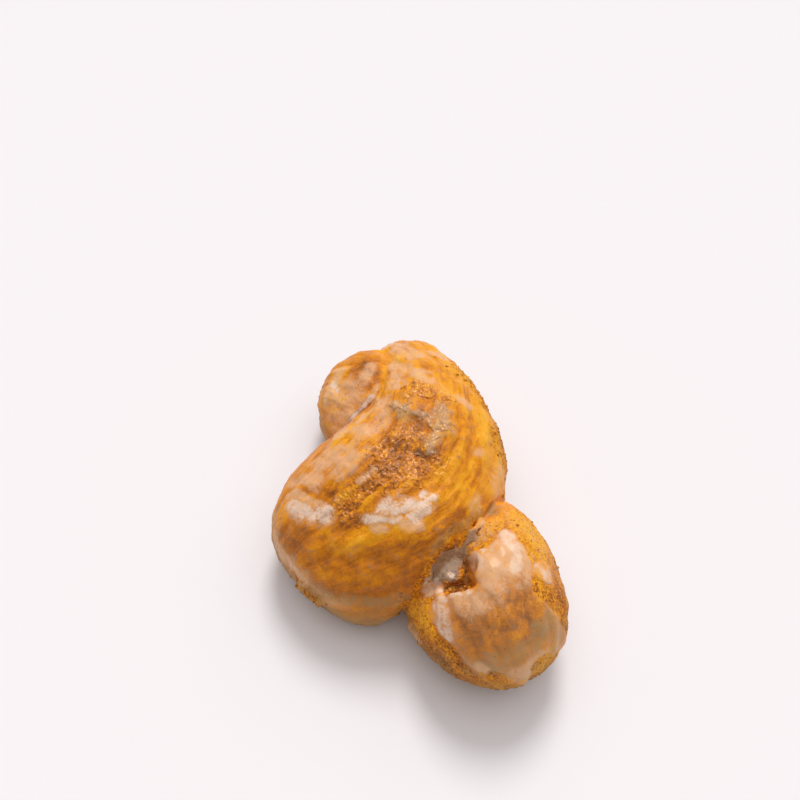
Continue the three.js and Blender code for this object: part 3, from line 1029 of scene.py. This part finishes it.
crustGroup = makeCrustGroup()
finishes = {
    # the shader's own settings, then the fine relief: its depth in mm and how strongly it shows
    "bakedCrust": {
        "shader": {"Specular IOR Level": 0.12, "Coat Weight": 0.07, "Coat Roughness": 0.25},
        "bump": (0.5, 0.5),
    },
    "sugarGlaze": {
        "shader": {
            "Roughness": 0.42, "Specular IOR Level": 0.25, "Coat Weight": 0.25, "Coat Roughness": 0.22,
        },
        "bump": (0.3, 0.45),
        "clouds": (5, 4, 0.6), "start": 0.03, "cloudy": 0.12, "milk": 0.12, "white": 0.12, "dullTanAndShade": 0.12,
    },
    "meltedSugar": {
        "shader": {"Roughness": 0.15, "Specular IOR Level": 0.5, "Specular Tint": (1, 0.84, 0.68, 1)},
        "bump": (0.16, 0.6), "beads": (0.9, 2, 0.5),
    },
    "cinnamonSpeck": {
        "shader": {"Roughness": 0.8, "Specular IOR Level": 0.0}, "bump": (0.05, 0.5),
        "dark": (0.27, 0.055, 0.005, 1), "light": (0.54, 0.15, 0.013, 1), "tone": (2.0, 3, 0.6),
    },
    "crumb": {
        "shader": {"Roughness": 0.6, "Specular IOR Level": 0.1}, "bump": (0.05, 0.5),
        "dark": (0.50, 0.15, 0.012, 1), "light": (0.88, 0.42, 0.08, 1), "tone": (1.6, 3, 0.6),
    },
}
bitGrain = (0.2, 3, 0.6)  # size in mm, detail, roughness
bitTones = (-0.7, 0.7)


def startMaterial(name):
    material = bpy.data.materials.new(name)
    material.use_nodes = True
    net = Net(material.node_tree)
    return material, net, material.node_tree.nodes["Principled BSDF"]


def finish(net, shader, values, height):
    for socket, value in values["shader"].items():
        shader.inputs[socket].default_value = value
    depth, strength = values["bump"]
    bump = net.add("ShaderNodeBump")
    bump.inputs["Strength"].default_value = strength
    bump.inputs["Distance"].default_value = depth * mm
    net.feed(bump.inputs["Height"], height)
    net.feed(shader.inputs["Normal"], bump.outputs["Normal"])


def grainInPlace(net, size, detail, rough):
    return net.grain(net.add("ShaderNodeTexCoord").outputs["Object"], size * mm, detail, rough)


def makeCrustMaterial(values):
    material, net, shader = startMaterial("bakedCrust")
    crust = net.add("ShaderNodeGroup", node_tree=crustGroup)
    net.feed(shader.inputs["Base Color"], crust.outputs["Colour"])
    net.feed(shader.inputs["Roughness"], crust.outputs["Roughness"])
    finish(net, shader, values, crust.outputs["Height"])
    return material


def makeGlazeMaterial(values):
    # the crust seen through the glaze, milkier where it is thick
    material, net, shader = startMaterial("sugarGlaze")
    crust = net.add("ShaderNodeGroup", node_tree=crustGroup)
    layers = {name: net.layer(name) for name in ("milk", "white")}
    layers["cloud"] = grainInPlace(net, *values["clouds"])
    shares = {"cloud milk": values["cloudy"], "milk": values["milk"], "white": values["white"]}
    thick = net.work(layers, values["start"], shares, None)
    dullTanAndShade, milk = (overColours[name][-1] for name in ("dullTanAndShade", "milk"))
    colour = net.mix(thick, net.mix(values["dullTanAndShade"], crust.outputs["Colour"], dullTanAndShade), milk)
    net.feed(shader.inputs["Base Color"], colour)
    finish(net, shader, values, crust.outputs["Height"])
    return material


def makeMeltMaterial(values):
    # clear, wrinkled sugar over the crust, wet and sparkling
    material, net, shader = startMaterial("meltedSugar")
    crust = net.add("ShaderNodeGroup", node_tree=crustGroup)
    net.feed(shader.inputs["Base Color"], crust.outputs["Colour"])
    finish(net, shader, values, grainInPlace(net, *values["beads"]))
    return material


def makeBitsMaterial(name, values):
    material, net, shader = startMaterial(name)
    tone = net.spread(grainInPlace(net, *values["tone"]), *bitTones)
    net.feed(shader.inputs["Base Color"], net.mix(tone, values["dark"], values["light"]))
    finish(net, shader, values, grainInPlace(net, *bitGrain))
    return material


glazeMaterial = makeGlazeMaterial(finishes["sugarGlaze"])
finished = (
    (bread, makeCrustMaterial(finishes["bakedCrust"])), (glaze, glazeMaterial), (seam, glazeMaterial),
    (melt, makeMeltMaterial(finishes["meltedSugar"])),
    (specks, makeBitsMaterial("cinnamonSpeck", finishes["cinnamonSpeck"])),
    (crumbs, makeBitsMaterial("crumb", finishes["crumb"])),
)
for piece, material in finished:
    piece.data.materials.clear()
    piece.data.materials.append(material)
    piece.data.polygons.foreach_set("use_smooth", [True] * len(piece.data.polygons))
print("materials set")


# Table, light and camera

studio = {
    "tableWidth": 6,
    "tableBelow": 0.02 * mm,  # so that it never shows through the bread's flat face
    "tableFinish": {"Base Color": (0.945, 0.90, 0.915, 1), "Roughness": 0.9, "Specular IOR Level": 0.1},
    "sky": 0.30,
    "lights": {
        # from which way, strength, how wide the light is in degrees
        "keySun": ((-0.47, 0.38, 0.80), 1.5, 20),
        "softSun": ((-0.10, 0.25, 1.0), 1.06, 90),
    },
}
photoCamera = {
    "place": (0.0960, -0.0610, 0.1930),
    "down": 48,  # degrees below level
    "heading": 58.95,  # degrees from +Y towards -X
    "sensor": 36,
    "focalLength": 612 / 800 * 36,  # the photograph's field of view on this sensor
    "nearest": 0.01,
}


def makeTable():
    bpy.ops.object.select_all(action="DESELECT")
    bpy.ops.mesh.primitive_plane_add(size=studio["tableWidth"], location=(0, 0, -studio["tableBelow"]))
    table = bpy.context.object
    table.name = "table"
    material, _, shader = startMaterial("paleTable")
    for socket, value in studio["tableFinish"].items():
        shader.inputs[socket].default_value = value
    table.data.materials.append(material)


def makeLights():
    world = bpy.data.worlds.new("studio")
    bpy.context.scene.world = world
    world.use_nodes = True
    world.node_tree.nodes["Background"].inputs["Color"].default_value = (1, 1, 1, 1)
    world.node_tree.nodes["Background"].inputs["Strength"].default_value = studio["sky"]
    for name, (fromWay, strength, width) in studio["lights"].items():
        sun = bpy.data.lights.new(name, "SUN")
        sun.energy = strength
        sun.angle = math.radians(width)
        lamp = bpy.data.objects.new(name, sun)
        lamp.rotation_euler = Vector(fromWay).to_track_quat("Z", "Y").to_euler()
        bpy.context.scene.collection.objects.link(lamp)


def makeCamera():
    camera = bpy.data.cameras.new("photoCamera")
    camera.lens = photoCamera["focalLength"]
    camera.sensor_width = photoCamera["sensor"]
    camera.clip_start = photoCamera["nearest"]
    holder = bpy.data.objects.new("photoCamera", camera)
    holder.location = photoCamera["place"]
    holder.rotation_euler = (
        math.radians(90 - photoCamera["down"]), 0, math.radians(photoCamera["heading"])
    )
    bpy.context.scene.collection.objects.link(holder)
    bpy.context.scene.camera = holder


makeTable()
makeLights()
makeCamera()
bpy.context.scene.view_settings.view_transform = "Standard"
print("studio lit")
